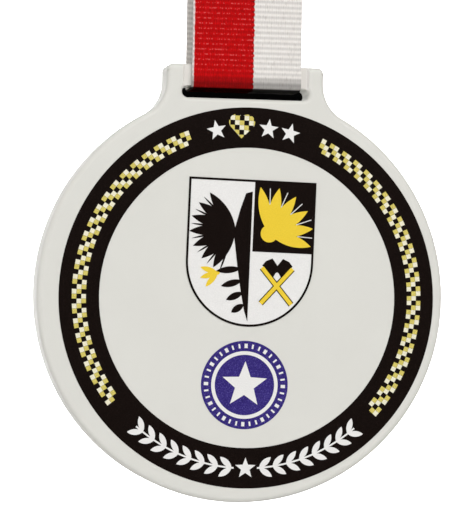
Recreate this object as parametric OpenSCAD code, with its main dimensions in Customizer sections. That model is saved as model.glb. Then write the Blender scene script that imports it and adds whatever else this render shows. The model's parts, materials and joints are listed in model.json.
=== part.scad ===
// Round finisher medal with a slotted tab, hanging on a folded neck ribbon.
// The frame: +Z up, the printed face looks along -Y, +X is to the right of a person facing it.
// The origin is the point that the folded ribbon is held by, at the top of the hank.

/* [Plate] */
// Diameter of the round plate
disc_d = 80; // [78:1:82]
// Thickness of the plate
plate_t = 7; // [5:0.5:8]
// Radius of the rounded front edge
edge_r = 1.1; // [0.6:0.1:1.1]
// Width of the tab
tab_w = 31; // [30:0.2:34]
// Height of the tab's top above the disc's centre
tab_top = 44.8; // [44.4:0.1:47]
// Radius of the tab's top corners
tab_corner_r = 1.3; // [1.2:0.1:2]
// Radius of the hollow flanks between tab and disc
flank_r = 7.5; // [6:0.5:8]

/* [Slot] */
// Width of the ribbon slot
slot_w = 25; // [25:0.2:27]
// Height of the ribbon slot
slot_h = 2.3; // [2.2:0.1:2.6]
// Height of the slot's centre above the disc's centre
slot_rise = 39.4; // [39.3:0.1:39.6]
// Radius of the slot's softened edges, front and back
slot_edge_r = 0.8; // [0.3:0.1:0.9]
// Depth of the channel over the bar, from the slot to the tab's top
channel_d = 0.4; // [0.2:0.1:0.6]

/* [Ribbon] */
// Width of the ribbon
ribbon_w = 21.5; // [20:0.5:21.5]
// Thickness of the ribbon
ribbon_t = 0.55; // [0.4:0.05:0.6]
// Play between the ribbon's loop and the plate
ribbon_play = 0.175; // [0.1:0.025:0.2]
// Length of one fold of the hank
hank_len = 65; // [60:1:75]
// Height above the disc's centre of the line that the ribbon bends about
bend_rise = 62; // [58:1:70]
// Free length on each side of that line
bend_gap = 3; // [2.5:0.5:4]
// Length of each straight leg under the hank
leg_len = 6; // [4:1:10]
// Length over which the ribbon's two ends lie on each other
lap_len = 16; // [12:1:20]
// Distance from the top of the hank to the top of that lap
lap_drop = 3; // [2:0.5:6]
// Width of the sewn box that joins the ends
seam_w = 16; // [12:1:18]
// Height of the sewn box
seam_h = 10; // [8:1:11]
// Diameter of the sewing thread
thread_d = 0.3; // [0.2:0.05:0.4]
// Width of the elastic band that ties the hank
band_w = 6; // [4:0.5:10]
// Thickness of the band
band_t = 0.9; // [0.6:0.1:1.2]
// Distance from the band's middle to the hank's lower end
band_rise = 22; // [15:1:40]

/* [Print] */
// Outer diameter of the printed ring
ring_d = 73.8; // [73:0.2:74.2]
// Inner diameter of the printed ring
ring_hole_d = 58.2; // [58:0.2:60]
// How far the print sits to the right of the disc's centre
print_x = 1.1; // [0:0.1:1.1]
// How far the print sits above the disc's centre
print_z = -0.3; // [-0.4:0.1:0.2]
// Turn of the print on the plate, in degrees
print_turn = -1.5; // [-3:0.5:3]
// Thickness of one layer of ink
ink_t = 0.05; // [0.04:0.01:0.1]
// Side of one chequer
chequer = 0.92; // [0.8:0.02:1]
// Width of the shield
shield_w = 25.1; // [23:0.1:27]
// Height of the shield's top above the print's centre
shield_top = 22.9; // [22:0.1:24]
// Height of the shield's dividing line above the print's centre
shield_bar = 9; // [7:0.5:11]
// Depth of the shield's point below the print's centre
shield_point = 5.6; // [5:0.1:6]
// Width of the shield's outline
line_w = 0.42; // [0.3:0.02:0.6]
// Diameter of the roundel
roundel_d = 17.1; // [16.5:0.1:18]
// Depth of the roundel's centre below the print's centre
roundel_drop = 16.9; // [16.5:0.1:17.5]

/* [Hidden] */
$fn = 96;

disc_r = disc_d / 2;
// Room that a cutting solid has past the surface it cuts
past = 1;
// Centre of each hollow flank, which touches the tab's side and runs just into the disc
flank_sink = 0.05;
flank_x = tab_w / 2 + flank_r;
flank_y = sqrt(pow(disc_r + flank_r - flank_sink, 2) - pow(flank_x, 2));
flank_angle = atan2(flank_y, flank_x);

// Heights below the origin
hank_bottom = -hank_len;
leg_bottom = hank_bottom - leg_len;
bend_z = leg_bottom - bend_gap;
disc_z = bend_z - bend_rise;

// The loop around the bar
leg_in = plate_t / 2 + ribbon_play;
leg_out = leg_in + ribbon_t;
loop_bottom_in = slot_rise + slot_h / 2 - ribbon_play;
loop_bottom_out = loop_bottom_in - ribbon_t;
loop_top = bend_rise - bend_gap;
loop_in_r = slot_edge_r + ribbon_play;

ring_mid = (ring_d + ring_hole_d) / 4;
ink_base = plate_t / 2;
ink_top = ink_base + ink_t;

white = [0.87, 0.86, 0.84];
paper_white = [0.93, 0.92, 0.9];
ink_black = [0.07, 0.05, 0.04];
gold = [0.93, 0.78, 0.25];
cream = [0.93, 0.89, 0.75];
roundel_blue = [0.2, 0.15, 0.45];
ribbon_red = [0.7, 0.05, 0.08];

// Stands a shape drawn on the face (x right, y up, z towards the viewer) up on the disc's centre
module on_face() {
    translate([0, 0, disc_z]) rotate([90, 0, 0]) children();
}

// Puts a drawing where the print sits on the plate, as a layer of ink
module ink(base) {
    on_face() translate([print_x, print_z, base]) rotate(print_turn)
        linear_extrude(ink_t) children();
}

// ---- the plate ----

// Section that a rounded edge takes off, at distance x in from the edge and height y below the face
module edge_waste(r) {
    difference() {
        translate([-past, -r]) square([r + past, r + past]);
        translate([r, -r]) circle(r);
    }
}

// The same section swept around an outer arc whose radius is arc_r
module outer_arc_waste(arc_r, r, from, sweep) {
    rotate(from) rotate_extrude(angle = sweep) intersection() {
        translate([arc_r, 0]) mirror([1, 0]) edge_waste(r);
        translate([0, -r - past]) square([arc_r + past, r + 3 * past]);
    }
}

// And around a hollow arc, with the material outside it
module hollow_arc_waste(arc_r, r, from, sweep) {
    rotate(from) rotate_extrude(angle = sweep) intersection() {
        translate([arc_r, 0]) edge_waste(r);
        translate([0, -r - past]) square([arc_r + r, r + 3 * past]);
    }
}

// And along a straight edge that starts at p and runs in direction a, with the material to its left
module straight_waste(p, a, run, r) {
    translate(p) rotate(a) rotate([90, 0, 90]) linear_extrude(run) edge_waste(r);
}

// The round plate with its front edge rounded
module disc() {
    rotate_extrude() {
        translate([0, -plate_t / 2]) square([disc_r - edge_r, plate_t]);
        translate([0, -plate_t / 2]) square([disc_r, plate_t - edge_r]);
        intersection() {
            translate([disc_r - edge_r, plate_t / 2 - edge_r]) circle(edge_r);
            square([disc_r, plate_t / 2]);
        }
    }
}

// The neck between the hollow flanks, from the disc's centre up to the tab, and the tab
module neck_outline() {
    difference() {
        polygon([[0, 0], [flank_x, flank_y], [-flank_x, flank_y]]);
        for (side = [-1, 1]) translate([side * flank_x, flank_y]) circle(flank_r);
    }
    tab_outline();
}

module tab_outline() {
    corner_x = tab_w / 2 - tab_corner_r;
    corner_y = tab_top - tab_corner_r;
    translate([-tab_w / 2, flank_y - past]) square([tab_w, corner_y - flank_y + past]);
    translate([-corner_x, flank_y - past]) square([2 * corner_x, tab_top - flank_y + past]);
    for (side = [-1, 1]) translate([side * corner_x, corner_y]) circle(tab_corner_r);
}

module slot_outline() {
    end_x = slot_w / 2 - slot_h / 2;
    translate([0, slot_rise]) {
        translate([-end_x, -slot_h / 2]) square([2 * end_x, slot_h]);
        for (side = [-1, 1]) translate([side * end_x, 0]) circle(slot_h / 2);
    }
}

// Everything that rounding the front edge takes off the neck, measured from the front face
module neck_edge_waste() {
    corner_x = tab_w / 2 - tab_corner_r;
    corner_y = tab_top - tab_corner_r;
    overrun = 4;
    straight_waste([corner_x, tab_top, 0], 180, 2 * corner_x, edge_r);
    for (side = [0, 1]) mirror([side, 0]) {
        straight_waste([tab_w / 2, flank_y, 0], 90, corner_y - flank_y, edge_r);
        translate([corner_x, corner_y]) outer_arc_waste(tab_corner_r, edge_r, 0, 90);
        translate([flank_x, flank_y]) hollow_arc_waste(flank_r, edge_r, 180, flank_angle + overrun);
    }
}

// Everything that softening the slot's edge takes off
module slot_edge_waste() {
    end_x = slot_w / 2 - slot_h / 2;
    translate([0, slot_rise]) {
        straight_waste([-end_x, slot_h / 2, 0], 0, 2 * end_x, slot_edge_r);
        straight_waste([end_x, -slot_h / 2, 0], 180, 2 * end_x, slot_edge_r);
        for (side = [0, 1]) mirror([side, 0]) translate([end_x, 0])
            hollow_arc_waste(slot_h / 2, slot_edge_r, -90, 180);
    }
}

// The channel over the bar, as wide as the slot, with sides that slope at 45 degrees
module channel_waste() {
    top = tab_top + past;
    translate([0, top, 0]) rotate([90, 0, 0]) linear_extrude(top - slot_rise)
        polygon([
            [-slot_w / 2 - past, past],
            [-slot_w / 2 + channel_d, -channel_d],
            [slot_w / 2 - channel_d, -channel_d],
            [slot_w / 2 + past, past]
        ]);
}

module medal_plate() {
    color(white) on_face() difference() {
        union() {
            disc();
            difference() {
                translate([0, 0, -plate_t / 2]) linear_extrude(plate_t) neck_outline();
                translate([0, 0, plate_t / 2]) neck_edge_waste();
            }
        }
        translate([0, 0, -plate_t / 2 - past]) linear_extrude(plate_t + 2 * past) slot_outline();
        translate([0, 0, plate_t / 2]) {
            slot_edge_waste();
            channel_waste();
        }
        translate([0, 0, -plate_t / 2]) mirror([0, 0, 1]) slot_edge_waste();
    }
}

// ---- drawings for the print ----

// A leaf with a point at each end, from the origin along +X
module leaf(len, wid) {
    arc_r = (pow(len, 2) / 4 + pow(wid, 2) / 4) / wid;
    intersection_for (side = [-1, 1])
        translate([len / 2, side * (arc_r - wid / 2)]) circle(arc_r);
}

module star(r) {
    notch = 0.42;
    polygon([for (i = [0:9]) (i % 2 == 0 ? r : r * notch) * [sin(i * 36), cos(i * 36)]]);
}

// A bar of width w from point a to point b
module bar(a, b, w) {
    run = b - a;
    translate(a) rotate(atan2(run[1], run[0])) translate([0, -w / 2]) square([norm(run), w]);
}

// Turns a drawing made around the origin by angle a and puts it at point p
module rotate_about(p, a) {
    translate(p) rotate(a) children();
}

module heart() {
    lobe_r = 1.5;
    rotate(45) {
        translate([-lobe_r, -lobe_r]) square([2 * lobe_r, 2 * lobe_r]);
        translate([lobe_r, 0]) circle(lobe_r);
        translate([0, lobe_r]) circle(lobe_r);
    }
}

// One row of a chequered band: cells of the band whose colour number is tint
module chequer_band(from, sweep, tint) {
    rows = 3;
    step = chequer / ring_mid * 180 / PI;
    shrink = 0.96;
    half_a = step * shrink / 2;
    half_r = chequer * shrink / 2;
    cells = floor(sweep / step);
    for (i = [0:cells - 1], j = [0:rows - 1]) if ((i + j) % 3 == tint) {
        a = from + (i + 0.5) * step;
        r = ring_mid + (1 - j) * chequer;
        polygon([for (c = [[-1, -1], [1, -1], [1, 1], [-1, 1]])
            (r + c[0] * half_r) * [cos(a + c[1] * half_a), sin(a + c[1] * half_a)]]);
    }
}

heart_at = [-2.7, ring_mid - 0.1];

module chequer_heart(tint) {
    cells = 3;
    shrink = 0.96;
    translate(heart_at) intersection() {
        heart();
        for (i = [-cells:cells], j = [-cells:cells]) if ((i + j + 3 * cells) % 3 == tint)
            translate([i, j] * chequer) square(chequer * shrink, center = true);
    }
}

band_left = 112.5;
band_right = 320;
band_sweep = 108.5;

module chequers(tint) {
    chequer_band(band_left, band_sweep, tint);
    chequer_band(band_right, band_sweep, tint);
    chequer_heart(tint);
}

garland_mid = 271.5;

// Leaf pairs on both sides of a star, around the bottom of the ring
module garland() {
    pairs = 8;
    pair_step = 4.7;
    leaf_len = 3.1;
    leaf_wid = 1.15;
    leaf_lean = 38;
    stem_w = 0.34;
    rotate(garland_mid) {
        translate([ring_mid, 0]) rotate(90) star(2.1);
        for (side = [0, 1]) mirror([0, side]) {
            rotate(4) stem(pairs * pair_step - 1, stem_w);
            for (k = [1:pairs]) rotate(k * pair_step) translate([ring_mid, 0])
                for (lean = [-leaf_lean, leaf_lean]) rotate(90 + lean) leaf(leaf_len, leaf_wid);
        }
    }
}

// A strip of the ring's middle line, w wide, over the given angle
module stem(sweep, w) {
    intersection() {
        difference() {
            circle(ring_mid + w / 2);
            circle(ring_mid - w / 2);
        }
        polygon([[0, 0], ring_d * [1, 0], ring_d * [cos(sweep), sin(sweep)]]);
    }
}

module ring_marks() {
    star_r = 2;
    for (x = [-7.6, 2.6, 6.9])
        rotate(-asin(x / ring_mid)) translate([0, ring_mid]) star(star_r);
    garland();
}

// ---- the shield ----

// Outline of the shield, pulled in by inset: straight sides down to a round bottom
module shield_shape(inset) {
    round_r = shield_w / 2;
    round_y = round_r - shield_point;
    half_w = round_r - inset;
    translate([-half_w, round_y]) square([2 * half_w, shield_top - inset - round_y]);
    translate([0, round_y]) circle(half_w);
}

// Fan of dark leaves on the left half, growing from a trunk on the dividing line
module shield_branch() {
    hub = [-3.1, 13.2];
    polygon([[0, 20.6], [-1.3, 20.2], [-2.3, 17], [-3.4, 12.5], [-2.4, 6], [-1.5, 1], [-0.7, -2.6],
             [0, -4.6]]);
    for (k = [0:6]) translate(hub) rotate(128 + k * 19) {
        leaf(9.1 - abs(k - 3) * 0.15, 2.15);
        rotate(9.5) translate([4.4, 0]) leaf(4.4, 0.34);
    }
    for (k = [0:3]) translate([-1.6 + k * 0.25, 5.6 - k * 2.3]) rotate(188 + k * 9)
        leaf(5 - k * 0.7, 1.3);
}

// Small light sprig under the fan
module shield_sprig() {
    root = [-6.2, 4.6];
    root_r = 0.4;
    translate(root) circle(root_r);
    for (k = [0:2]) rotate_about(root, 165 + k * 33) leaf(3.6, 1.05);
}

// Centre of the petals, and the angle from one petal to the next
petal_hub = [3.6, 12.6];
petal_step = 23.5;

// Fan of petals on the upper right quarter
module shield_fan() {
    translate(petal_hub) circle(1.7);
    for (k = [0:5]) rotate_about(petal_hub, 103 - k * petal_step) leaf(9.2 - k * 0.12, 2.3);
}

// Thin lines left open between the petals
module shield_fan_lines() {
    for (k = [0:4]) rotate_about(petal_hub, 91 - k * petal_step) bar([5.6, 0], [8.8, 0], 0.2);
}

pole_cross = [5.5, 2.5];
pole_lean = 49;
pole_w = 0.8;
pole_line = 0.18;

// Two crossed poles on the lower right
module shield_poles(w) {
    half_len = 4.6;
    for (a = [pole_lean, 180 - pole_lean]) rotate_about(pole_cross, a)
        bar([-half_len, 0], [half_len, 0], w);
}

// A flag at the top of each pole
module shield_flags() {
    for (side = [0, 1]) translate([pole_cross[0], 0]) mirror([side, 0]) translate([-pole_cross[0], 0])
        rotate_about(pole_cross, pole_lean)
            polygon([[1.7, 0.3], [4.9, 0.3], [5.1, 1.4], [4.7, 2.7], [1.9, 2.5], [2.1, 1.4]]);
}

// ---- the inks ----

module ring_ink_black() {
    color(ink_black) ink(ink_base) difference() {
        circle(ring_d / 2);
        circle(ring_hole_d / 2);
    }
}

module ring_ink_white() {
    color(paper_white) ink(ink_top) ring_marks();
}

module chequer_ink_gold() {
    color(gold) ink(ink_top) chequers(1);
}

module chequer_ink_cream() {
    color(cream) ink(ink_top) chequers(0);
}

module shield_ink_white() {
    color(paper_white) ink(ink_base) shield_shape(line_w / 2);
}

module shield_ink_black() {
    color(ink_black) ink(ink_top) {
        difference() {
            shield_shape(0);
            shield_shape(line_w);
        }
        intersection() {
            shield_shape(line_w / 2);
            difference() {
                translate([line_w, shield_bar]) square([shield_w, shield_top]);
                shield_fan();
                shield_fan_lines();
            }
        }
        intersection() {
            shield_shape(line_w / 2);
            shield_branch();
        }
        difference() {
            union() {
                shield_flags();
                shield_poles(pole_w + 2 * pole_line);
            }
            shield_poles(pole_w);
        }
    }
}

module shield_ink_gold() {
    color(gold) ink(ink_top) {
        shield_fan();
        shield_poles(pole_w);
        shield_sprig();
    }
}

module roundel_ink_blue() {
    color(roundel_blue) ink(ink_base) translate([0, -roundel_drop]) circle(roundel_d / 2);
}

module roundel_ink_white() {
    inner_r = 5.85;
    ring_w = 0.7;
    tick_in = 7.15;
    tick_len = 0.85;
    ticks = 36;
    color(paper_white) ink(ink_top) translate([0, -roundel_drop]) {
        difference() {
            circle(inner_r + ring_w);
            circle(inner_r);
        }
        star(4.6);
        for (k = [0:ticks - 1]) rotate(k * 360 / ticks)
            bar([tick_in, 0], [tick_in + tick_len, 0], k % 3 == 0 ? 0.62 : 0.34);
    }
}

// ---- the ribbon ----

module ribbon_loop() {
    color(ribbon_red) translate([-ribbon_w / 2, 0, disc_z]) rotate([90, 0, 90])
        linear_extrude(ribbon_w) difference() {
            cup(leg_out, loop_bottom_out, loop_in_r + ribbon_t, loop_top);
            cup(leg_in, loop_bottom_in, loop_in_r, loop_top + past);
        }
}

// Flat section with an open top at height top and two round lower corners
module cup(half_w, bottom, r, top) {
    translate([-half_w, bottom + r]) square([2 * half_w, top - bottom - r]);
    translate([r - half_w, bottom]) square([2 * (half_w - r), 2 * r]);
    for (side = [-1, 1]) translate([side * (half_w - r), bottom + r]) circle(r);
}

module ribbon_leg(side) {
    color(ribbon_red) translate([-ribbon_w / 2, side > 0 ? leg_in : -leg_out, leg_bottom])
        cube([ribbon_w, ribbon_t, leg_len]);
}

module ribbon_leg_front() {
    ribbon_leg(-1);
}

module ribbon_leg_back() {
    ribbon_leg(1);
}

module ribbon_hank() {
    color(ribbon_red) translate([-ribbon_w / 2, 0, 0]) rotate([90, 0, 90])
        linear_extrude(ribbon_w) translate([-leg_out, hank_bottom]) square([2 * leg_out, hank_len]);
}

// Elastic band around the middle of the hank
module hank_band() {
    color(paper_white) translate([0, 0, hank_bottom + band_rise - band_w / 2])
        linear_extrude(band_w) difference() {
            square([ribbon_w + 2 * band_t, 2 * (leg_out + band_t)], center = true);
            square([ribbon_w, 2 * leg_out], center = true);
        }
}

// The ribbon's outer end, which lies on the front fold of the hank
module ribbon_lap() {
    color(ribbon_red) translate([-ribbon_w / 2, -leg_out - ribbon_t, -lap_drop - lap_len])
        cube([ribbon_w, ribbon_t, lap_len]);
}

// Rectangle of stitches that joins the ribbon's two ends
module ribbon_seam_thread() {
    color(paper_white) translate([0, -leg_out - ribbon_t, -lap_drop - lap_len / 2])
        rotate([90, 0, 0]) linear_extrude(thread_d) difference() {
            square([seam_w, seam_h], center = true);
            square([seam_w - 2 * thread_d, seam_h - 2 * thread_d], center = true);
        }
}

medal_plate();
ring_ink_black();
ring_ink_white();
chequer_ink_gold();
chequer_ink_cream();
shield_ink_white();
shield_ink_black();
shield_ink_gold();
roundel_ink_blue();
roundel_ink_white();
ribbon_loop();
ribbon_leg_front();
ribbon_leg_back();
ribbon_hank();
ribbon_lap();
ribbon_seam_thread();
hank_band();
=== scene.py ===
"""Looks of a round finisher medal that hangs on a folded neck ribbon."""

import json
import math

import bmesh
import bpy
from bpy.props import FloatProperty, FloatVectorProperty, IntProperty, PointerProperty
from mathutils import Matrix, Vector


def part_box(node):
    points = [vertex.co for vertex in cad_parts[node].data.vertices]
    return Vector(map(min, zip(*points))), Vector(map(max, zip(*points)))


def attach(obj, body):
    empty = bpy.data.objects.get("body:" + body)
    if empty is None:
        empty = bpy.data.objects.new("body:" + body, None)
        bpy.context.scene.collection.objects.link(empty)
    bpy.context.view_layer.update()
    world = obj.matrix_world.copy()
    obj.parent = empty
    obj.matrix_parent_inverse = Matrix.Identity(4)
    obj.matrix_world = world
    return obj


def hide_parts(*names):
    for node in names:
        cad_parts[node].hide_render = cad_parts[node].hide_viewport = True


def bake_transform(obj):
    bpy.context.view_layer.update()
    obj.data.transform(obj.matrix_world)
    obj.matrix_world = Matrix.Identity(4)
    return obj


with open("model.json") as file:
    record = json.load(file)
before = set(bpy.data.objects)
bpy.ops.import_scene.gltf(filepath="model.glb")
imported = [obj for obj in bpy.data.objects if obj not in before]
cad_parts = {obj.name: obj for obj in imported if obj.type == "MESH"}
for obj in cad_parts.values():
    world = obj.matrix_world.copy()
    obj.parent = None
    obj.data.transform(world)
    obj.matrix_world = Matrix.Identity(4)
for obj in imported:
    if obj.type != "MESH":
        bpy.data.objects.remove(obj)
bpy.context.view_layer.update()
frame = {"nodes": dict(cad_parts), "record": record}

bl_info = {
    "name": "Finisher Medal",
    "version": (1, 0, 0),
    "blender": (4, 5, 0),
    "location": "View3D > Sidebar > Medal",
    "description": "Makes the ribbon, band and stitches of a finisher medal and finishes its plate and print",
    "category": "Object",
}

MM = 0.001

# Where things are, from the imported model
PLATE_LOW, PLATE_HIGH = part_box("medal_plate")
DISC_R = (PLATE_HIGH.x - PLATE_LOW.x) / 2
DISC_Z = PLATE_LOW.z + DISC_R
FACE_Y = PLATE_LOW.y
HANK_LOW, HANK_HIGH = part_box("ribbon_hank")
LOOP_LOW, LOOP_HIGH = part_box("ribbon_loop")
LEG_LOW, LEG_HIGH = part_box("ribbon_leg_front")
LAP_LOW, LAP_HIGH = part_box("ribbon_lap")
SEAM_LOW, SEAM_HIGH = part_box("ribbon_seam_thread")
BAND_LOW, BAND_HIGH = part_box("hank_band")
slot_mount = next(m for m in frame["record"]["mounts"] if m["name"] == "ribbon_slot")
SLOT_Z = slot_mount["pos_m"][2]
SLOT_W = slot_mount["dims"]["slot_length_mm"] * MM
SLOT_H = 2 * slot_mount["dims"]["hole_r_mm"] * MM
# Heights between which the ribbon goes from ribbed to pressed flat, over the bar
FLAT_TOP, FLAT_LOW = LOOP_LOW.z + 5.0 * MM, LOOP_LOW.z + 2.8 * MM
# Heights between which painted shade darkens it, where it curves into the slot over the bar
BEND_SHADE_TOP, BEND_SHADE_LOW = LOOP_LOW.z + 3.2 * MM, LOOP_LOW.z + 1.2 * MM


def length(name, description, default, **more):
    """A property that holds a length in metres."""
    return FloatProperty(
        name=name, description=description, default=default, unit="LENGTH", min=0, precision=5, **more
    )


def colour(name, description, default):
    """A property that holds a colour in linear light."""
    return FloatVectorProperty(
        name=name, description=description, default=default, subtype="COLOR", size=3, min=0, max=1
    )


# ---- node trees ----


class Tree:
    """Adds nodes to a node tree and links them, so that a tree reads from top to bottom."""

    def __init__(self, tree):
        self.tree = tree
        self.column = 0

    def add(self, kind, inputs=None, **settings):
        node = self.tree.nodes.new(kind)
        node.location = (self.column * 180, 0)
        self.column += 1
        for name, value in settings.items():
            setattr(node, name, value)
        for key, value in (inputs or {}).items():
            self.put(node.inputs[key], value)
        return node

    def put(self, socket, value):
        if isinstance(value, bpy.types.NodeSocket):
            self.tree.links.new(value, socket)
        elif isinstance(value, bpy.types.Node):
            self.tree.links.new(value.outputs[0], socket)
        else:
            socket.default_value = value

    def math(self, operation, a, b=0.0, c=0.0, clamp=False):
        node = self.add("ShaderNodeMath", {0: a, 1: b, 2: c}, operation=operation, use_clamp=clamp)
        return node.outputs[0]

    def smooth(self, value, low, high):
        """0 below low, 1 above high, smooth between; it falls instead if low is above high."""
        if low < high:
            start, end, first, last = low, high, 0.0, 1.0
        else:
            start, end, first, last = high, low, 1.0, 0.0
        node = self.add(
            "ShaderNodeMapRange",
            {"Value": value, "From Min": start, "From Max": end, "To Min": first, "To Max": last},
            interpolation_type="SMOOTHSTEP",
        )
        return node.outputs[0]

    def band(self, value, low, high, soft):
        """1 between low and high, and 0 outside, with soft edges."""
        up = self.smooth(value, low - soft, low + soft)
        down = self.smooth(value, high + soft, high - soft)
        return self.math("MULTIPLY", up, down)

    def mix(self, share, a, b, blend="MIX"):
        node = self.add("ShaderNodeMix", data_type="RGBA", blend_type=blend)
        self.put(node.inputs["Factor"], share)
        self.put(node.inputs[6], a)
        self.put(node.inputs[7], b)
        return node.outputs[2]

    def noise(self, vector, pitch, detail=2.0, rough=0.5):
        node = self.add(
            "ShaderNodeTexNoise",
            {"Vector": vector, "Scale": 1 / pitch, "Detail": detail, "Roughness": rough},
        )
        return node.outputs["Fac"]

    def group_input(self):
        return self.add("NodeGroupInput")


def rgba(values):
    """An opaque colour."""
    return (*values, 1.0)


class Finish(Tree):
    """A material with one Principled shader, and the tree that feeds it."""

    def __init__(self, name, roughness=0.5, specular=0.5, sheen=0.0):
        self.material = bpy.data.materials.new(name)
        self.material.use_nodes = True
        super().__init__(self.material.node_tree)
        self.tree.nodes.clear()
        self.shader = self.add("ShaderNodeBsdfPrincipled")
        inputs = self.shader.inputs
        inputs["Roughness"].default_value = roughness
        inputs["Specular IOR Level"].default_value = specular
        inputs["Sheen Weight"].default_value = sheen
        output = self.add("ShaderNodeOutputMaterial")
        self.put(output.inputs["Surface"], self.shader.outputs["BSDF"])
        place = self.add("ShaderNodeTexCoord").outputs["Object"]
        self.place = place
        parts = self.add("ShaderNodeSeparateXYZ", {0: place})
        self.x, self.y, self.z = parts.outputs

    def base(self, value):
        self.put(self.shader.inputs["Base Color"], value)

    def roughness(self, value):
        self.put(self.shader.inputs["Roughness"], value)

    def bump(self, height, distance, strength=1.0):
        node = self.add("ShaderNodeBump", {"Strength": strength, "Distance": distance, "Height": height})
        self.put(self.shader.inputs["Normal"], node.outputs[0])


class Build(Tree):
    """A Geometry Nodes tree with named inputs, used once on a mesh and then applied."""

    def __init__(self, name, sockets):
        tree = bpy.data.node_groups.new(name, "GeometryNodeTree")
        tree.interface.new_socket("Geometry", in_out="INPUT", socket_type="NodeSocketGeometry")
        self.identifiers = {}
        for label, kind in sockets.items():
            made = tree.interface.new_socket(label, in_out="INPUT", socket_type=kind)
            self.identifiers[label] = made.identifier
        tree.interface.new_socket("Geometry", in_out="OUTPUT", socket_type="NodeSocketGeometry")
        super().__init__(tree)
        self.start = self.group_input()

    def given(self, label):
        return self.start.outputs[label]

    def field(self, name, kind="FLOAT"):
        node = self.add("GeometryNodeInputNamedAttribute", {"Name": name}, data_type=kind)
        return node.outputs["Attribute"]

    def store(self, geometry, name, value, domain="POINT", kind="FLOAT"):
        node = self.add(
            "GeometryNodeStoreNamedAttribute",
            {"Geometry": geometry, "Name": name},
            data_type=kind,
            domain=domain,
        )
        self.put(node.inputs["Value"], value)
        return node.outputs[0]

    def vector(self, x=0.0, y=0.0, z=0.0):
        return self.add("ShaderNodeCombineXYZ", {0: x, 1: y, 2: z}).outputs[0]

    def finish(self, geometry):
        """Ends the tree: real geometry with its material."""
        real = self.add("GeometryNodeRealizeInstances", {"Geometry": geometry})
        painted = self.add(
            "GeometryNodeSetMaterial", {"Geometry": real.outputs[0], "Material": self.given("Material")}
        )
        smooth = self.add(
            "GeometryNodeSetShadeSmooth", {"Geometry": painted.outputs[0], "Shade Smooth": True}
        )
        self.add("NodeGroupOutput", {0: smooth.outputs[0]})

    def apply(self, name, mesh, values):
        """Runs the tree on the mesh with these inputs and gives back a plain object."""
        source = bpy.data.objects.new(name + "_path", mesh)
        bpy.context.scene.collection.objects.link(source)
        modifier = source.modifiers.new("Nodes", "NODES")
        modifier.node_group = self.tree
        for label, value in values.items():
            modifier[self.identifiers[label]] = value
        bpy.context.view_layer.update()
        graph = bpy.context.evaluated_depsgraph_get()
        made = bpy.data.meshes.new_from_object(source.evaluated_get(graph))
        bpy.data.objects.remove(source)
        bpy.data.meshes.remove(mesh)
        made.name = name
        outward(made)
        piece = bpy.data.objects.new(name, made)
        bpy.context.scene.collection.objects.link(piece)
        return piece


def outward(mesh):
    """Turns the faces of a closed mesh outwards."""
    work = bmesh.new()
    work.from_mesh(mesh)
    bmesh.ops.recalc_face_normals(work, faces=work.faces)
    work.to_mesh(mesh)
    work.free()


def line_mesh(name, points, closed=False):
    """A mesh of edges through the points."""
    edges = [(i, i + 1) for i in range(len(points) - 1)]
    if closed:
        edges.append((len(points) - 1, 0))
    mesh = bpy.data.meshes.new(name)
    mesh.from_pydata(points, edges, [])
    return mesh


def arc(centre, radius, start, end, steps):
    """Points on an arc in a plane, from one angle to another in degrees."""
    turn = [math.radians(start + (end - start) * i / steps) for i in range(steps + 1)]
    return [(centre[0] + radius * math.cos(a), centre[1] + radius * math.sin(a)) for a in turn]


# ---- settings ----


class RibbonSettings(bpy.types.PropertyGroup):
    layers: IntProperty(name="Layers", description="Layers of ribbon in the hank", default=12, min=2)
    rib_pitch: length("Rib pitch", "Distance from one woven rib to the next", 1.0 * MM)
    rib_depth: length("Rib depth", "Depth of the groove between two ribs", 0.05 * MM)
    steps: IntProperty(name="Steps", description="Rings of the mesh along one rib", default=6, min=3)
    flat_share: FloatProperty(
        name="Flat share",
        description="Part of the rib depth left where the ribbon is pressed flat",
        default=0.25,
        min=0,
        max=1,
    )
    stripe: length("Stripe edge", "How far the red stripe reaches past the middle", 1.25 * MM)
    margin: length("Margin", "Width of the undyed left edge", 0.3 * MM)
    red: colour("Red", "Dyed stripe", (0.62, 0.0, 0.001))
    white: colour("White", "Undyed weave", (0.95, 0.905, 0.86))


class SeamSettings(bpy.types.PropertyGroup):
    stitch_pitch: length("Stitch pitch", "Distance from one stitch to the next", 1.7 * MM)
    stitch_length: length("Stitch length", "Length of one stitch", 1.45 * MM)
    thread: colour("Thread", "Sewing thread", (0.86, 0.83, 0.79))


class BandSettings(bpy.types.PropertyGroup):
    cords: IntProperty(name="Cords", description="Elastic cords side by side in the band", default=6, min=2)
    knit_pitch: length("Knit pitch", "Length of one knitted loop", 0.9 * MM)
    relief: length("Relief", "Depth between two cords", 0.14 * MM)
    tint: colour("Colour", "Elastic band", (0.80, 0.77, 0.73))


class PlateSettings(bpy.types.PropertyGroup):
    lacquer: colour("Lacquer", "White lacquer of the plate", (0.80, 0.79, 0.735))
    rubbed: colour("Rubbed", "Lacquer where it is rubbed shiny", (0.85, 0.82, 0.77))


class PrintSettings(bpy.types.PropertyGroup):
    black: colour("Black", "Black ink", (0.006, 0.0024, 0.0014))
    white: colour("White", "White ink", (0.90, 0.885, 0.86))
    gold: colour("Gold", "Gold ink", (0.93, 0.655, 0.032))
    pale_gold: colour("Pale gold", "Gold ink of the chequers", (0.71, 0.60, 0.13))
    cream: colour("Cream", "Cream ink of the chequers", (0.92, 0.87, 0.66))
    blue: colour("Blue", "Blue ink of the roundel", (0.038, 0.023, 0.20))
    grain: length("Grain", "Size of one printed dot", 0.2 * MM)


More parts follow.
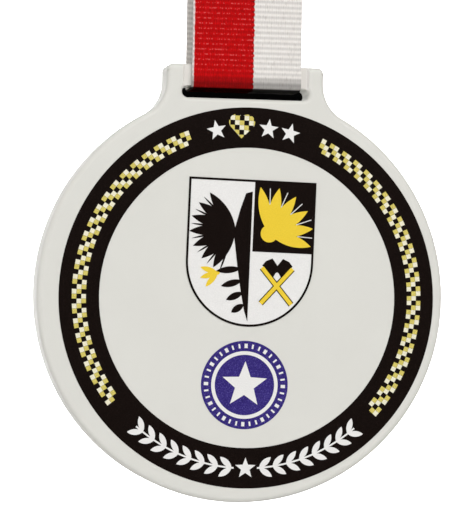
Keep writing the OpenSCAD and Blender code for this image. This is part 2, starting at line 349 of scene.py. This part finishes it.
class StageSettings(bpy.types.PropertyGroup):
    distance: length("Distance", "From the camera to the medal", 0.5)
    lens: FloatProperty(name="Lens", description="Focal length in millimetres", default=177.1, min=1)
    yaw: FloatProperty(
        name="Yaw", description="Camera's place round the medal", default=math.radians(-10.5), subtype="ANGLE"
    )
    pitch: FloatProperty(
        name="Pitch", description="Camera's height as an angle", default=math.radians(-1.0), subtype="ANGLE"
    )
    roll: FloatProperty(
        name="Roll",
        description="Turn of the camera about its view",
        default=math.radians(1.0),
        subtype="ANGLE",
    )
    aim_x: FloatProperty(name="Aim X", description="Aim point, across", default=-1.12 * MM, unit="LENGTH")
    aim_rise: FloatProperty(
        name="Aim height", description="Aim point above the disc's centre", default=6.5 * MM, unit="LENGTH"
    )
    floor: colour("Floor", "Floor and backdrop", (0.80, 0.80, 0.80))
    ambient: FloatProperty(name="Ambient", description="Light from all round", default=0.3, min=0)


class MedalSettings(bpy.types.PropertyGroup):
    ribbon: PointerProperty(type=RibbonSettings)
    seam: PointerProperty(type=SeamSettings)
    band: PointerProperty(type=BandSettings)
    plate: PointerProperty(type=PlateSettings)
    prints: PointerProperty(type=PrintSettings)
    stage: PointerProperty(type=StageSettings)


# ---- ribbon ----


def hank_shift(layer):
    """How far the fold after a layer stops short of the hank's end; a slow uneven rhythm."""
    return (0.35 + 0.35 * math.sin(2.1 * layer + 0.6)) * MM


def ribbon_path(settings):
    """Middle line of the ribbon in the YZ plane, from the outer end on the hank to the inner one."""
    thick = LEG_HIGH.y - LEG_LOW.y
    outer_y = LOOP_HIGH.y - thick / 2
    lap_y = (LAP_LOW.y + LAP_HIGH.y) / 2
    layers = settings.layers
    pitch = 2 * outer_y / (layers - 1)
    layer_y = [-outer_y + pitch * i for i in range(layers)]
    turn_r = pitch / 2
    fold_steps = 10

    points = [(lap_y, LAP_LOW.z)]
    over_r = (layer_y[1] - lap_y) / 2
    over_z = HANK_HIGH.z - thick / 2 - over_r
    points += arc((lap_y + over_r, over_z), over_r, 180, 0, fold_steps)
    for i in range(1, layers - 1):
        middle = layer_y[i] + turn_r
        if i % 2:
            z = HANK_LOW.z + thick / 2 + turn_r + hank_shift(i)
            points += arc((middle, z), turn_r, 180, 360, fold_steps)
        else:
            z = HANK_HIGH.z - thick / 2 - turn_r - hank_shift(i)
            points += arc((middle, z), turn_r, 180, 0, fold_steps)

    bend_r = 1.25 * MM  # middle line of the ribbon, where it turns over each edge of the bar
    bottom_z = LOOP_LOW.z + thick / 2
    corner_z = bottom_z + bend_r
    corner_steps = 14
    points += arc((outer_y - bend_r, corner_z), bend_r, 0, -90, corner_steps)
    points += arc((bend_r - outer_y, corner_z), bend_r, -90, -180, corner_steps)
    points.append((-outer_y, LAP_HIGH.z))
    return [(0.0, y, z) for y, z in points], thick


def path_length(points):
    """Length of the line through the points."""
    return sum(math.dist(a, b) for a, b in zip(points, points[1:]))


def ribbon_tree():
    """Sweeps a flat section along the middle line and presses the woven ribs into it."""
    t = Build(
        "Ribbed ribbon",
        {
            "Width": "NodeSocketFloat",
            "Thickness": "NodeSocketFloat",
            "Rib Pitch": "NodeSocketFloat",
            "Rib Depth": "NodeSocketFloat",
            "Steps": "NodeSocketInt",
            "Flat Top": "NodeSocketFloat",
            "Flat Low": "NodeSocketFloat",
            "Flat Share": "NodeSocketFloat",
            "Material": "NodeSocketMaterial",
        },
    )
    step = t.math("DIVIDE", t.given("Rib Pitch"), t.given("Steps"))
    curve = t.add("GeometryNodeMeshToCurve", {"Mesh": t.given("Geometry")})
    even = t.add("GeometryNodeResampleCurve", {"Curve": curve.outputs[0]}, mode="LENGTH")
    t.put(even.inputs["Length"], step)
    turned = t.add("GeometryNodeSetCurveNormal", {"Curve": even.outputs[0]}, mode="FREE")
    t.put(turned.inputs["Normal"], (1.0, 0.0, 0.0))
    run = t.add("GeometryNodeSplineParameter").outputs["Length"]
    path = t.store(turned.outputs[0], "along", run)

    section = t.add("GeometryNodeCurvePrimitiveQuadrilateral")
    t.put(section.inputs["Width"], t.given("Width"))
    t.put(section.inputs["Height"], t.given("Thickness"))
    round_r = t.math("MULTIPLY", t.given("Thickness"), 0.32)
    rounded = t.add(
        "GeometryNodeFilletCurve", {"Curve": section.outputs[0], "Radius": round_r, "Count": 2}, mode="POLY"
    )
    where = t.add("ShaderNodeSeparateXYZ", {0: t.add("GeometryNodeInputPosition")})
    half = t.math("MULTIPLY", t.given("Thickness"), -0.5)
    side = t.math("DIVIDE", where.outputs[1], half)
    profile = t.store(rounded.outputs[0], "side", side)

    body = t.add(
        "GeometryNodeCurveToMesh", {"Curve": path, "Profile Curve": profile, "Fill Caps": True}
    ).outputs[0]
    turns = t.math("DIVIDE", t.field("along"), t.given("Rib Pitch"))
    wave = t.math("COSINE", t.math("MULTIPLY", turns, math.pi))
    groove = t.math("POWER", t.math("ABSOLUTE", wave), 2.0)
    height = t.add("ShaderNodeSeparateXYZ", {0: t.add("GeometryNodeInputPosition")}).outputs[2]
    pressed_flat = t.add(
        "ShaderNodeMapRange",
        {
            "Value": height,
            "From Min": t.given("Flat Low"),
            "From Max": t.given("Flat Top"),
            "To Min": t.given("Flat Share"),
        },
        interpolation_type="SMOOTHSTEP",
    ).outputs[0]
    groove = t.math("MULTIPLY", groove, pressed_flat)
    depth = t.math("MULTIPLY", t.math("MULTIPLY", groove, t.given("Rib Depth")), -1.0)
    normal = t.add("GeometryNodeInputNormal").outputs[0]
    pressed = t.add("ShaderNodeVectorMath", {0: normal}, operation="SCALE")
    t.put(pressed.inputs["Scale"], depth)
    t.finish(t.add("GeometryNodeSetPosition", {"Geometry": body, "Offset": pressed.outputs[0]}).outputs[0])
    return t


def ribbon_fabric(settings):
    """Ribbed weave, dyed red on the left of its outer side and white elsewhere."""
    f = Finish("ribbon_weave", roughness=0.75)
    along = f.add("ShaderNodeAttribute", attribute_name="along").outputs["Fac"]
    side = f.add("ShaderNodeAttribute", attribute_name="side").outputs["Fac"]
    turns = f.math("DIVIDE", along, settings.rib_pitch)
    crest = f.math("ABSOLUTE", f.math("SINE", f.math("MULTIPLY", turns, math.pi)))
    flat = f.add("ShaderNodeCombineXYZ", {0: f.x, 1: along, 2: f.math("MULTIPLY", side, 0.4 * MM)}).outputs[0]
    half_w = (LOOP_HIGH.x - LOOP_LOW.x) / 2

    # Warp threads run along the ribbon, packed close across it
    warp_pitch = 0.45 * MM
    wander = f.noise(flat, 2.2 * MM, 1.0)
    across = f.math("ADD", f.x, f.math("MULTIPLY", wander, 0.35 * MM))
    warp = f.math("SINE", f.math("MULTIPLY", across, 2 * math.pi / warp_pitch))
    warp = f.math("MULTIPLY_ADD", warp, 0.5, 0.5)
    stretched = f.add("ShaderNodeVectorMath", {0: flat, 1: (1.0, 0.28, 1.0)}, operation="MULTIPLY").outputs[0]
    fleck = f.noise(stretched, 0.3 * MM, 3.0, 0.6)

    white = f.mix(warp, rgba([c * 0.94 for c in settings.white]), rgba(settings.white))
    white = f.mix(f.smooth(fleck, 0.50, 0.78), white, rgba((0.97, 0.93, 0.88)))
    white = f.mix(f.smooth(fleck, 0.48, 0.24), white, rgba((0.74, 0.69, 0.645)))
    red = f.mix(warp, rgba([c * 0.86 for c in settings.red]), rgba(settings.red))
    red = f.mix(f.smooth(fleck, 0.52, 0.80), red, rgba((0.78, 0.008, 0.014)))
    red = f.mix(f.smooth(fleck, 0.46, 0.22), red, rgba((0.40, 0.0, 0.001)))

    # Threads catch the light in rows of dashes along the crests, less where it is pressed flat
    dashes = f.add("ShaderNodeVectorMath", {0: flat, 1: (1.0, 0.55, 1.0)}, operation="MULTIPLY").outputs[0]
    dash = f.smooth(f.noise(dashes, 0.32 * MM, 1.0), 0.50, 0.60)
    dash = f.math("MULTIPLY", dash, f.smooth(crest, 0.86, 0.98))
    dash = f.math("MULTIPLY", dash, f.smooth(f.z, FLAT_LOW, FLAT_TOP))
    red = f.mix(f.math("MULTIPLY", dash, 0.42), red, rgba((0.85, 0.16, 0.16)))
    white = f.mix(f.math("MULTIPLY", dash, 0.6), white, rgba((1.0, 0.98, 0.95)))

    # The dye's edge steps with the ribs and frays a little
    fray = f.math("MULTIPLY", f.math("SUBTRACT", f.noise(flat, 0.7 * MM, 2.0), 0.5), 0.5 * MM)
    steps = f.math("MULTIPLY", crest, 0.16 * MM)
    edge = f.math("ADD", f.math("ADD", fray, steps), settings.stripe - 0.1 * MM)
    past_edge = f.math("SUBTRACT", edge, f.x)
    dyed = f.smooth(past_edge, -0.06 * MM, 0.06 * MM)
    inset = f.math("ADD", f.x, half_w - settings.margin)
    margin = f.smooth(f.math("ADD", inset, f.math("MULTIPLY", fray, 0.5)), -0.08 * MM, 0.08 * MM)
    front = f.smooth(side, 0.1, 0.7)
    dyed = f.math("MULTIPLY", f.math("MULTIPLY", dyed, margin), front)
    stain = f.band(past_edge, -0.05 * MM, 0.35 * MM, 0.08 * MM)
    stain = f.math("MULTIPLY", stain, f.smooth(crest, 0.75, 0.2))
    blush = f.math("MULTIPLY", f.math("MULTIPLY", f.smooth(f.x, -half_w + 1.2 * MM, -half_w), front), 0.35)

    body = f.mix(blush, white, rgba((0.92, 0.55, 0.54)))
    body = f.mix(dyed, body, red)
    body = f.mix(f.math("MULTIPLY", f.math("MULTIPLY", stain, front), 0.7), body, rgba((0.16, 0.0, 0.001)))
    # Painted shade in the grooves between the ribs
    groove = f.math("SUBTRACT", 1.0, f.math("MULTIPLY", crest, crest))
    body = f.mix(f.math("MULTIPLY", groove, 0.22), body, rgba((0.0, 0.0, 0.0)))
    # Painted shade on its front, where it turns over the bar into the slot
    bend_shade = f.math("MULTIPLY", f.smooth(f.z, BEND_SHADE_TOP, BEND_SHADE_LOW), f.smooth(f.y, 0.0, -1.0 * MM))
    body = f.mix(f.math("MULTIPLY", bend_shade, 0.5), body, rgba((0.0, 0.0, 0.0)))
    # Painted shadow beneath the bend, nearly black, with its shine taken away too
    under_shadow = f.smooth(f.z, LOOP_LOW.z + 0.55 * MM, LOOP_LOW.z + 0.25 * MM)
    body = f.mix(f.math("MULTIPLY", under_shadow, 0.96), body, rgba((0.0, 0.0, 0.0)))
    shine = 0.1
    f.put(f.shader.inputs["Specular IOR Level"], f.math("MULTIPLY_ADD", under_shadow, -shine, shine))
    f.base(body)
    f.roughness(f.math("MULTIPLY_ADD", fleck, 0.2, 0.62))
    height = f.math("ADD", f.math("MULTIPLY", warp, 0.5), f.math("MULTIPLY", fleck, 0.9))
    f.bump(height, 0.045 * MM, 0.8)
    return f.material


class MEDAL_OT_ribbon(bpy.types.Operator):
    """Weave the neck ribbon: its hank, its two legs and the loop through the slot, as one strip"""

    bl_idname = "medal.ribbon"
    bl_label = "Make ribbon"

    def execute(self, context):
        settings = context.scene.medal.ribbon
        points, thick = ribbon_path(settings)
        ribbon = ribbon_tree().apply(
            "neck_ribbon",
            line_mesh("neck_ribbon_path", points),
            {
                "Width": LOOP_HIGH.x - LOOP_LOW.x,
                "Thickness": thick,
                "Rib Pitch": settings.rib_pitch,
                "Rib Depth": settings.rib_depth,
                "Steps": settings.steps,
                "Flat Top": FLAT_TOP,
                "Flat Low": FLAT_LOW,
                "Flat Share": settings.flat_share,
                "Material": ribbon_fabric(settings),
            },
        )
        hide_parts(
            "ribbon_loop", "ribbon_leg_front", "ribbon_leg_back", "ribbon_hank", "ribbon_lap"
        )
        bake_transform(ribbon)
        ribbon["flat_length"] = path_length(points)
        return {"FINISHED"}


# ---- seam stitches ----


def stitch_tree():
    """Lays one rounded stitch after another along a line."""
    t = Build(
        "Row of stitches",
        {
            "Pitch": "NodeSocketFloat",
            "Stitch Length": "NodeSocketFloat",
            "Thread": "NodeSocketFloat",
            "Seed": "NodeSocketInt",
            "Material": "NodeSocketMaterial",
        },
    )
    curve = t.add("GeometryNodeMeshToCurve", {"Mesh": t.given("Geometry")})
    even = t.add("GeometryNodeResampleCurve", {"Curve": curve.outputs[0]}, mode="LENGTH")
    t.put(even.inputs["Length"], t.given("Pitch"))
    ball = t.add("GeometryNodeMeshUVSphere", {"Segments": 8, "Rings": 6, "Radius": 0.5})
    size = t.vector(t.given("Thread"), t.given("Thread"), t.given("Stitch Length"))
    stitch = t.add("GeometryNodeTransform", {"Geometry": ball.outputs[0], "Scale": size})
    tangent = t.add("GeometryNodeInputTangent").outputs[0]
    spin = t.add("FunctionNodeAlignRotationToVector", {"Vector": tangent}, axis="Z")
    lean = t.add("FunctionNodeRandomValue", data_type="FLOAT_VECTOR")
    t.put(lean.inputs[0], (-0.02, -0.09, -0.02))
    t.put(lean.inputs[1], (0.02, 0.09, 0.02))
    t.put(lean.inputs["Seed"], t.given("Seed"))
    rotated = t.add("FunctionNodeRotateRotation", {0: spin.outputs[0], 1: lean.outputs[0]})
    placed = t.add(
        "GeometryNodeInstanceOnPoints",
        {"Points": even.outputs[0], "Instance": stitch.outputs[0], "Rotation": rotated.outputs[0]},
    )
    t.finish(placed.outputs[0])
    return t


def thread_material(settings):
    """Twisted sewing thread."""
    f = Finish("sewing_thread", roughness=0.6, specular=0.35, sheen=0.15)
    ply = f.math("SINE", f.math("MULTIPLY", f.math("ADD", f.x, f.z), 2 * math.pi / (0.28 * MM)))
    ply = f.math("MULTIPLY_ADD", ply, 0.5, 0.5)
    f.base(f.mix(ply, rgba([c * 0.82 for c in settings.thread]), rgba(settings.thread)))
    f.roughness(f.math("MULTIPLY_ADD", f.noise(f.place, 0.3 * MM), 0.2, 0.5))
    f.bump(ply, 0.03 * MM)
    return f.material


class MEDAL_OT_seam(bpy.types.Operator):
    """Sew the ribbon's two ends together with a box of stitches and its cross"""

    bl_idname = "medal.seam"
    bl_label = "Sew seam"

    def execute(self, context):
        settings = context.scene.medal.seam
        thread = SEAM_HIGH.y - SEAM_LOW.y
        y = SEAM_HIGH.y - 0.3 * thread
        inset = thread / 2 + 0.1 * MM
        left, right = SEAM_LOW.x + inset, SEAM_HIGH.x - inset
        low, high = SEAM_LOW.z + inset, SEAM_HIGH.z - inset
        corners = [(left, y, low), (right, y, low), (right, y, high), (left, y, high)]
        mesh = bpy.data.meshes.new("seam_path")
        # The box and its cross are separate rows
        points = corners + [corners[i] for i in (0, 2, 1, 3)]
        mesh.from_pydata(points, [(0, 1), (1, 2), (2, 3), (3, 0), (4, 5), (6, 7)], [])
        seam = stitch_tree().apply(
            "seam_stitches",
            mesh,
            {
                "Pitch": settings.stitch_pitch,
                "Stitch Length": settings.stitch_length,
                "Thread": thread * 0.9,
                "Seed": 7,
                "Material": thread_material(settings),
            },
        )
        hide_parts("ribbon_seam_thread")
        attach(seam, "ribbon_top")
        return {"FINISHED"}


# ---- elastic band ----


def band_tree():
    """Sweeps a flat section round the hank and raises the elastic cords and their knitted loops."""
    t = Build(
        "Elastic band",
        {
            "Width": "NodeSocketFloat",
            "Thickness": "NodeSocketFloat",
            "Cords": "NodeSocketInt",
            "Knit Pitch": "NodeSocketFloat",
            "Relief": "NodeSocketFloat",
            "Material": "NodeSocketMaterial",
        },
    )
    curve = t.add("GeometryNodeMeshToCurve", {"Mesh": t.given("Geometry")})
    even = t.add("GeometryNodeResampleCurve", {"Curve": curve.outputs[0]}, mode="LENGTH")
    t.put(even.inputs["Length"], t.math("DIVIDE", t.given("Knit Pitch"), 5.0))
    turned = t.add("GeometryNodeSetCurveNormal", {"Curve": even.outputs[0]}, mode="FREE")
    t.put(turned.inputs["Normal"], (0.0, 0.0, 1.0))
    run = t.add("GeometryNodeSplineParameter").outputs["Length"]
    path = t.store(turned.outputs[0], "along", run)

    section = t.add("GeometryNodeCurvePrimitiveQuadrilateral")
    t.put(section.inputs["Width"], t.given("Width"))
    t.put(section.inputs["Height"], t.given("Thickness"))
    round_r = t.math("MULTIPLY", t.given("Thickness"), 0.3)
    rounded = t.add(
        "GeometryNodeFilletCurve", {"Curve": section.outputs[0], "Radius": round_r, "Count": 2}, mode="POLY"
    )
    fine = t.add("GeometryNodeResampleCurve", {"Curve": rounded.outputs[0]}, mode="LENGTH")
    t.put(fine.inputs["Length"], t.math("DIVIDE", t.math("DIVIDE", t.given("Width"), t.given("Cords")), 5.0))
    where = t.add("ShaderNodeSeparateXYZ", {0: t.add("GeometryNodeInputPosition")})
    profile = t.store(fine.outputs[0], "across", where.outputs[0])

    body = t.add(
        "GeometryNodeCurveToMesh", {"Curve": path, "Profile Curve": profile}
    ).outputs[0]
    row = t.math("DIVIDE", t.math("MULTIPLY", t.field("across"), t.given("Cords")), t.given("Width"))
    cord = t.math("ABSOLUTE", t.math("SINE", t.math("MULTIPLY", row, math.pi)))
    knit = t.math("DIVIDE", t.field("along"), t.given("Knit Pitch"))
    shifted = t.math("ADD", knit, t.math("MULTIPLY", t.math("FLOOR", row), 0.5))
    loop = t.math("ABSOLUTE", t.math("SINE", t.math("MULTIPLY", shifted, math.pi)))
    height = t.math("SUBTRACT", t.math("MULTIPLY", t.math("SQRT", cord), t.math("SQRT", loop)), 1.0)
    normal = t.add("GeometryNodeInputNormal").outputs[0]
    offset = t.add("ShaderNodeVectorMath", {0: normal}, operation="SCALE")
    t.put(offset.inputs["Scale"], t.math("MULTIPLY", height, t.given("Relief")))
    t.finish(t.add("GeometryNodeSetPosition", {"Geometry": body, "Offset": offset.outputs[0]}).outputs[0])
    return t


def band_material(settings):
    """Knitted elastic."""
    f = Finish("elastic_knit", roughness=0.8, specular=0.25, sheen=0.2)
    fuzz = f.noise(f.place, 0.25 * MM, 3.0, 0.6)
    f.base(f.mix(f.smooth(fuzz, 0.35, 0.7), rgba([c * 0.84 for c in settings.tint]), rgba(settings.tint)))
    f.roughness(f.math("MULTIPLY_ADD", fuzz, 0.2, 0.7))
    f.bump(fuzz, 0.05 * MM, 0.7)
    return f.material


class MEDAL_OT_band(bpy.types.Operator):
    """Knit the elastic band that ties the hank"""

    bl_idname = "medal.band"
    bl_label = "Make band"

    def execute(self, context):
        settings = context.scene.medal.band
        thick = HANK_LOW.y - BAND_LOW.y
        z = (BAND_LOW.z + BAND_HIGH.z) / 2
        x, y = BAND_HIGH.x - thick / 2, BAND_HIGH.y - thick / 2
        corner_r = 1.0 * MM
        corners = [(x - corner_r, y - corner_r), (corner_r - x, y - corner_r)]
        corners += [(corner_r - x, corner_r - y), (x - corner_r, corner_r - y)]
        points = []
        for i, corner in enumerate(corners):
            points += arc(corner, corner_r, 90 * i, 90 * (i + 1), 8)
        band = band_tree().apply(
            "hank_elastic",
            line_mesh("hank_elastic_path", [(px, py, z) for px, py in points], closed=True),
            {
                "Width": BAND_HIGH.z - BAND_LOW.z,
                "Thickness": thick,
                "Cords": settings.cords,
                "Knit Pitch": settings.knit_pitch,
                "Relief": settings.relief,
                "Material": band_material(settings),
            },
        )
        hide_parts("hank_band")
        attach(band, "ribbon_top")
        return {"FINISHED"}


# ---- plate ----


def lacquer(settings):
    """Satin white lacquer with a faint orange peel, rubbed in the channel over the bar, with a painted
    highlight up the channel's right side.
    """
    f = Finish("white_lacquer", roughness=0.42)
    cloud = f.noise(f.place, 14 * MM, 3.0)
    speck = f.noise(f.place, 0.35 * MM, 2.0)
    white = rgba(settings.lacquer)
    body = f.mix(f.smooth(cloud, 0.35, 0.7), rgba([c * 0.985 for c in settings.lacquer]), white)
    body = f.mix(f.math("MULTIPLY", f.smooth(speck, 0.70, 0.80), 0.25), body, rgba((0.55, 0.53, 0.50)))

    # Warm and brighter where the ribbon slides, with a painted highlight up the channel's right side
    half_w = SLOT_W / 2
    front = f.smooth(f.y, FACE_Y + 1.0 * MM, FACE_Y + 0.7 * MM)
    over_slot = f.smooth(f.z, SLOT_Z, SLOT_Z + 0.3 * MM)
    patch = f.math("MULTIPLY", f.band(f.x, -half_w, half_w, 0.1 * MM), f.math("MULTIPLY", over_slot, front))
    channel_highlight = f.math("MULTIPLY", patch, f.band(f.x, half_w - 0.45 * MM, half_w - 0.05 * MM, 0.08 * MM))
    body = f.mix(patch, body, rgba(settings.rubbed))
    body = f.mix(f.math("MULTIPLY", channel_highlight, 0.7), body, rgba((0.97, 0.94, 0.91)))
    f.base(body)
    rough = f.math("MULTIPLY_ADD", cloud, 0.12, 0.36)
    rough = f.math("SUBTRACT", rough, f.math("MULTIPLY", patch, 0.12))
    f.roughness(rough)
    # Only the face is polished
    polish = f.smooth(f.y, FACE_Y + 0.12 * MM, FACE_Y + 0.04 * MM)
    f.put(f.shader.inputs["Specular IOR Level"], f.math("MULTIPLY_ADD", polish, 0.22, 0.04))
    peel = f.noise(f.place, 1.6 * MM, 2.0)
    f.bump(f.math("ADD", peel, f.math("MULTIPLY", speck, 0.15)), 0.03 * MM, 0.5)
    return f.material


def paint(node, material):
    """Gives a CAD node a new material."""
    for slot in frame["nodes"][node].material_slots:
        slot.material = material


class MEDAL_OT_plate(bpy.types.Operator):
    """Lacquer the plate"""

    bl_idname = "medal.plate"
    bl_label = "Lacquer plate"

    def execute(self, context):
        paint("medal_plate", lacquer(context.scene.medal.plate))
        return {"FINISHED"}


# ---- print ----


def ink(name, tint, grain, spread, lift, specular=0.3):
    """Printed ink: fine dots of a lighter and a darker tone, with a slight relief."""
    f = Finish(name, roughness=0.5, specular=specular)
    dots = f.noise(f.place, grain, 2.0, 0.6)
    cloud = f.noise(f.place, 3.5 * MM, 2.0)
    dark = rgba([c * (1 - spread) for c in tint])
    light = rgba([min(1.0, c * (1 + spread) + lift) for c in tint])
    body = f.mix(f.smooth(dots, 0.50, 0.30), rgba(tint), dark)
    body = f.mix(f.smooth(dots, 0.52, 0.74), body, light)
    body = f.mix(f.math("MULTIPLY", f.smooth(cloud, 0.4, 0.7), 0.10), body, light)
    f.base(body)
    f.roughness(f.math("MULTIPLY_ADD", dots, 0.16, 0.40))
    f.bump(dots, 0.02 * MM, 0.4)
    return f.material


class MEDAL_OT_print(bpy.types.Operator):
    """Print the ring, the shield and the roundel in their inks"""

    bl_idname = "medal.print"
    bl_label = "Print face"

    def execute(self, context):
        s = context.scene.medal.prints
        black = ink("black_ink", s.black, s.grain, 0.5, 0.004, specular=0.06)
        white = ink("white_ink", s.white, s.grain, 0.05, 0.02)
        gold = ink("gold_ink", s.gold, s.grain, 0.08, 0.02)
        pale_gold = ink("pale_gold_ink", s.pale_gold, s.grain, 0.3, 0.06)
        cream = ink("cream_ink", s.cream, s.grain, 0.2, 0.04)
        blue = ink("blue_ink", s.blue, s.grain, 0.45, 0.05, specular=0.1)
        paint("ring_ink_black", black)
        paint("ring_ink_white", white)
        paint("chequer_ink_gold", pale_gold)
        paint("chequer_ink_cream", cream)
        paint("shield_ink_white", white)
        paint("shield_ink_black", black)
        paint("shield_ink_gold", gold)
        paint("roundel_ink_blue", blue)
        paint("roundel_ink_white", white)
        return {"FINISHED"}


# ---- stage ----

# Name, place, target, size in metres, power in watts and spread in degrees of each lamp.
# The wall lamp lights only the backdrop.
DISC_MIDDLE = Vector((0, 0, DISC_Z))
LIGHTS = (
    ("key", Vector((0.35, -1.3, 0.95)), DISC_MIDDLE, (1.1, 0.8), 16.3, 180),
    ("side", Vector((-1.3, -0.5, 0.15)), DISC_MIDDLE, (0.8, 0.8), 4.2, 180),
    ("wall", Vector((0.35, 0.95, 1.2)), Vector((0.35, 1.75, 0.0)), (2.0, 0.4), 42, 100),
)


def aim(thing, place, target, roll=0.0):
    """Puts a camera or lamp at a place and turns it to look at the target."""
    thing.location = place
    look = (Vector(target) - Vector(place)).to_track_quat("-Z", "Y")
    thing.rotation_euler = look.to_euler()
    if roll:
        thing.rotation_euler.rotate_axis("Z", roll)


def add_camera(s):
    """Adds the scene's camera and gives back the direction from the medal to it."""
    target = Vector((s.aim_x, FACE_Y, DISC_Z + s.aim_rise))
    back = Vector(
        (math.sin(s.yaw) * math.cos(s.pitch), -math.cos(s.yaw) * math.cos(s.pitch), math.sin(s.pitch))
    )
    data = bpy.data.cameras.new("camera")
    data.sensor_width = 36
    data.lens = s.lens
    data.clip_start, data.clip_end = 0.02, 50
    camera = bpy.data.objects.new("camera", data)
    bpy.context.scene.collection.objects.link(camera)
    aim(camera, target + back * s.distance, target, s.roll)
    bpy.context.scene.camera = camera
    return back


def area_light(name, place, target, size, power, spread):
    """A soft rectangular lamp that faces the target."""
    data = bpy.data.lights.new(name, "AREA")
    data.shape = "RECTANGLE"
    data.size, data.size_y = size
    data.energy = power
    data.spread = math.radians(spread)
    lamp = bpy.data.objects.new(name, data)
    bpy.context.scene.collection.objects.link(lamp)
    aim(lamp, place, target)


def matte(name, tint, specular=0.1):
    """Dull paper for the backdrop and the card."""
    f = Finish(name, roughness=0.9, specular=specular)
    f.base(f.mix(f.noise(f.place, 0.05, 2.0), rgba([c * 0.99 for c in tint]), rgba(tint)))
    return f.material


def backdrop_mesh():
    """A floor that curves up into a wall behind the medal."""
    floor_z = PLATE_LOW.z - 0.12
    wall_y, bend_r, half_w, front_y, top_z = 1.9, 0.6, 3.5, -2.6, 2.2
    outline = [(front_y, floor_z)]
    outline += arc((wall_y - bend_r, floor_z + bend_r), bend_r, -90, 0, 24)
    outline.append((wall_y, top_z))
    points = [(side * half_w, y, z) for side in (-1, 1) for y, z in outline]
    n = len(outline)
    faces = [(i, i + n, i + n + 1, i + 1) for i in range(n - 1)]
    mesh = bpy.data.meshes.new("backdrop")
    mesh.from_pydata(points, [], faces)
    for face in mesh.polygons:
        face.use_smooth = True
    return mesh


def shade_card(camera_back):
    """A dark card far behind the slot, as large as the slot lets the camera see."""
    behind = 1.4  # metres from the slot back to the card
    narrow, tall = 0.98, 1.5  # the card's share of the slot's width and height as the camera sees them
    s = bpy.context.scene.medal.stage
    scale = (s.distance + behind) / s.distance
    slot = Vector((0, 0, SLOT_Z))
    eye = Vector(bpy.context.scene.camera.location)
    centre = eye + (slot - eye) * scale
    across = camera_back.cross(Vector((0, 0, 1))).normalized()
    up = across.cross(camera_back).normalized()
    half_across = across * SLOT_W / 2 * scale * narrow
    half_up = up * SLOT_H / 2 * scale * tall
    signs = ((-1, -1), (1, -1), (1, 1), (-1, 1))
    corners = [centre + half_across * a + half_up * b for a, b in signs]
    mesh = bpy.data.meshes.new("shade_card")
    mesh.from_pydata(corners, [], [(0, 1, 2, 3)])
    return mesh


class MEDAL_OT_stage(bpy.types.Operator):
    """Set up the camera, the soft lights and the pale floor"""

    bl_idname = "medal.stage"
    bl_label = "Set stage"

    def execute(self, context):
        s = context.scene.medal.stage
        back = add_camera(s)
        bpy.context.view_layer.update()
        for light in LIGHTS:
            area_light(*light)

        world = bpy.data.worlds.new("studio")
        world.use_nodes = True
        background = world.node_tree.nodes["Background"]
        background.inputs["Color"].default_value = (1, 1, 1, 1)
        background.inputs["Strength"].default_value = s.ambient
        context.scene.world = world
        context.scene.view_settings.view_transform = "Standard"

        backdrop = bpy.data.objects.new("backdrop", backdrop_mesh())
        backdrop.data.materials.append(matte("pale_paper", s.floor))
        card = bpy.data.objects.new("shade_card", shade_card(back))
        card.data.materials.append(matte("dark_card", (0.0005, 0.0005, 0.0005), 0.0))
        for thing in (backdrop, card):
            context.scene.collection.objects.link(thing)
        return {"FINISHED"}


# ---- panel ----


class MEDAL_PT_panel(bpy.types.Panel):
    """Sidebar panel with each operator above its settings"""

    bl_idname = "MEDAL_PT_panel"
    bl_label = "Finisher medal"
    bl_space_type = "VIEW_3D"
    bl_region_type = "UI"
    bl_category = "Medal"

    def draw(self, context):
        medal = context.scene.medal
        for operator, group in STEPS:
            box = self.layout.box()
            box.operator(operator)
            settings = getattr(medal, group)
            for key in settings.__annotations__:
                box.prop(settings, key)


# Each operator with its settings, in working order
STEPS = (
    ("medal.stage", "stage"),
    ("medal.ribbon", "ribbon"),
    ("medal.seam", "seam"),
    ("medal.band", "band"),
    ("medal.plate", "plate"),
    ("medal.print", "prints"),
)

CLASSES = (
    RibbonSettings,
    SeamSettings,
    BandSettings,
    PlateSettings,
    PrintSettings,
    StageSettings,
    MedalSettings,
    MEDAL_OT_stage,
    MEDAL_OT_ribbon,
    MEDAL_OT_seam,
    MEDAL_OT_band,
    MEDAL_OT_plate,
    MEDAL_OT_print,
    MEDAL_PT_panel,
)


def register():
    for cls in CLASSES:
        bpy.utils.register_class(cls)
    bpy.types.Scene.medal = PointerProperty(type=MedalSettings)


def unregister():
    del bpy.types.Scene.medal
    for cls in reversed(CLASSES):
        bpy.utils.unregister_class(cls)


def main():
    register()
    for operator, _ in STEPS:
        group, name = operator.split(".")
        getattr(getattr(bpy.ops, group), name)()


if __name__ == "__main__":
    main()
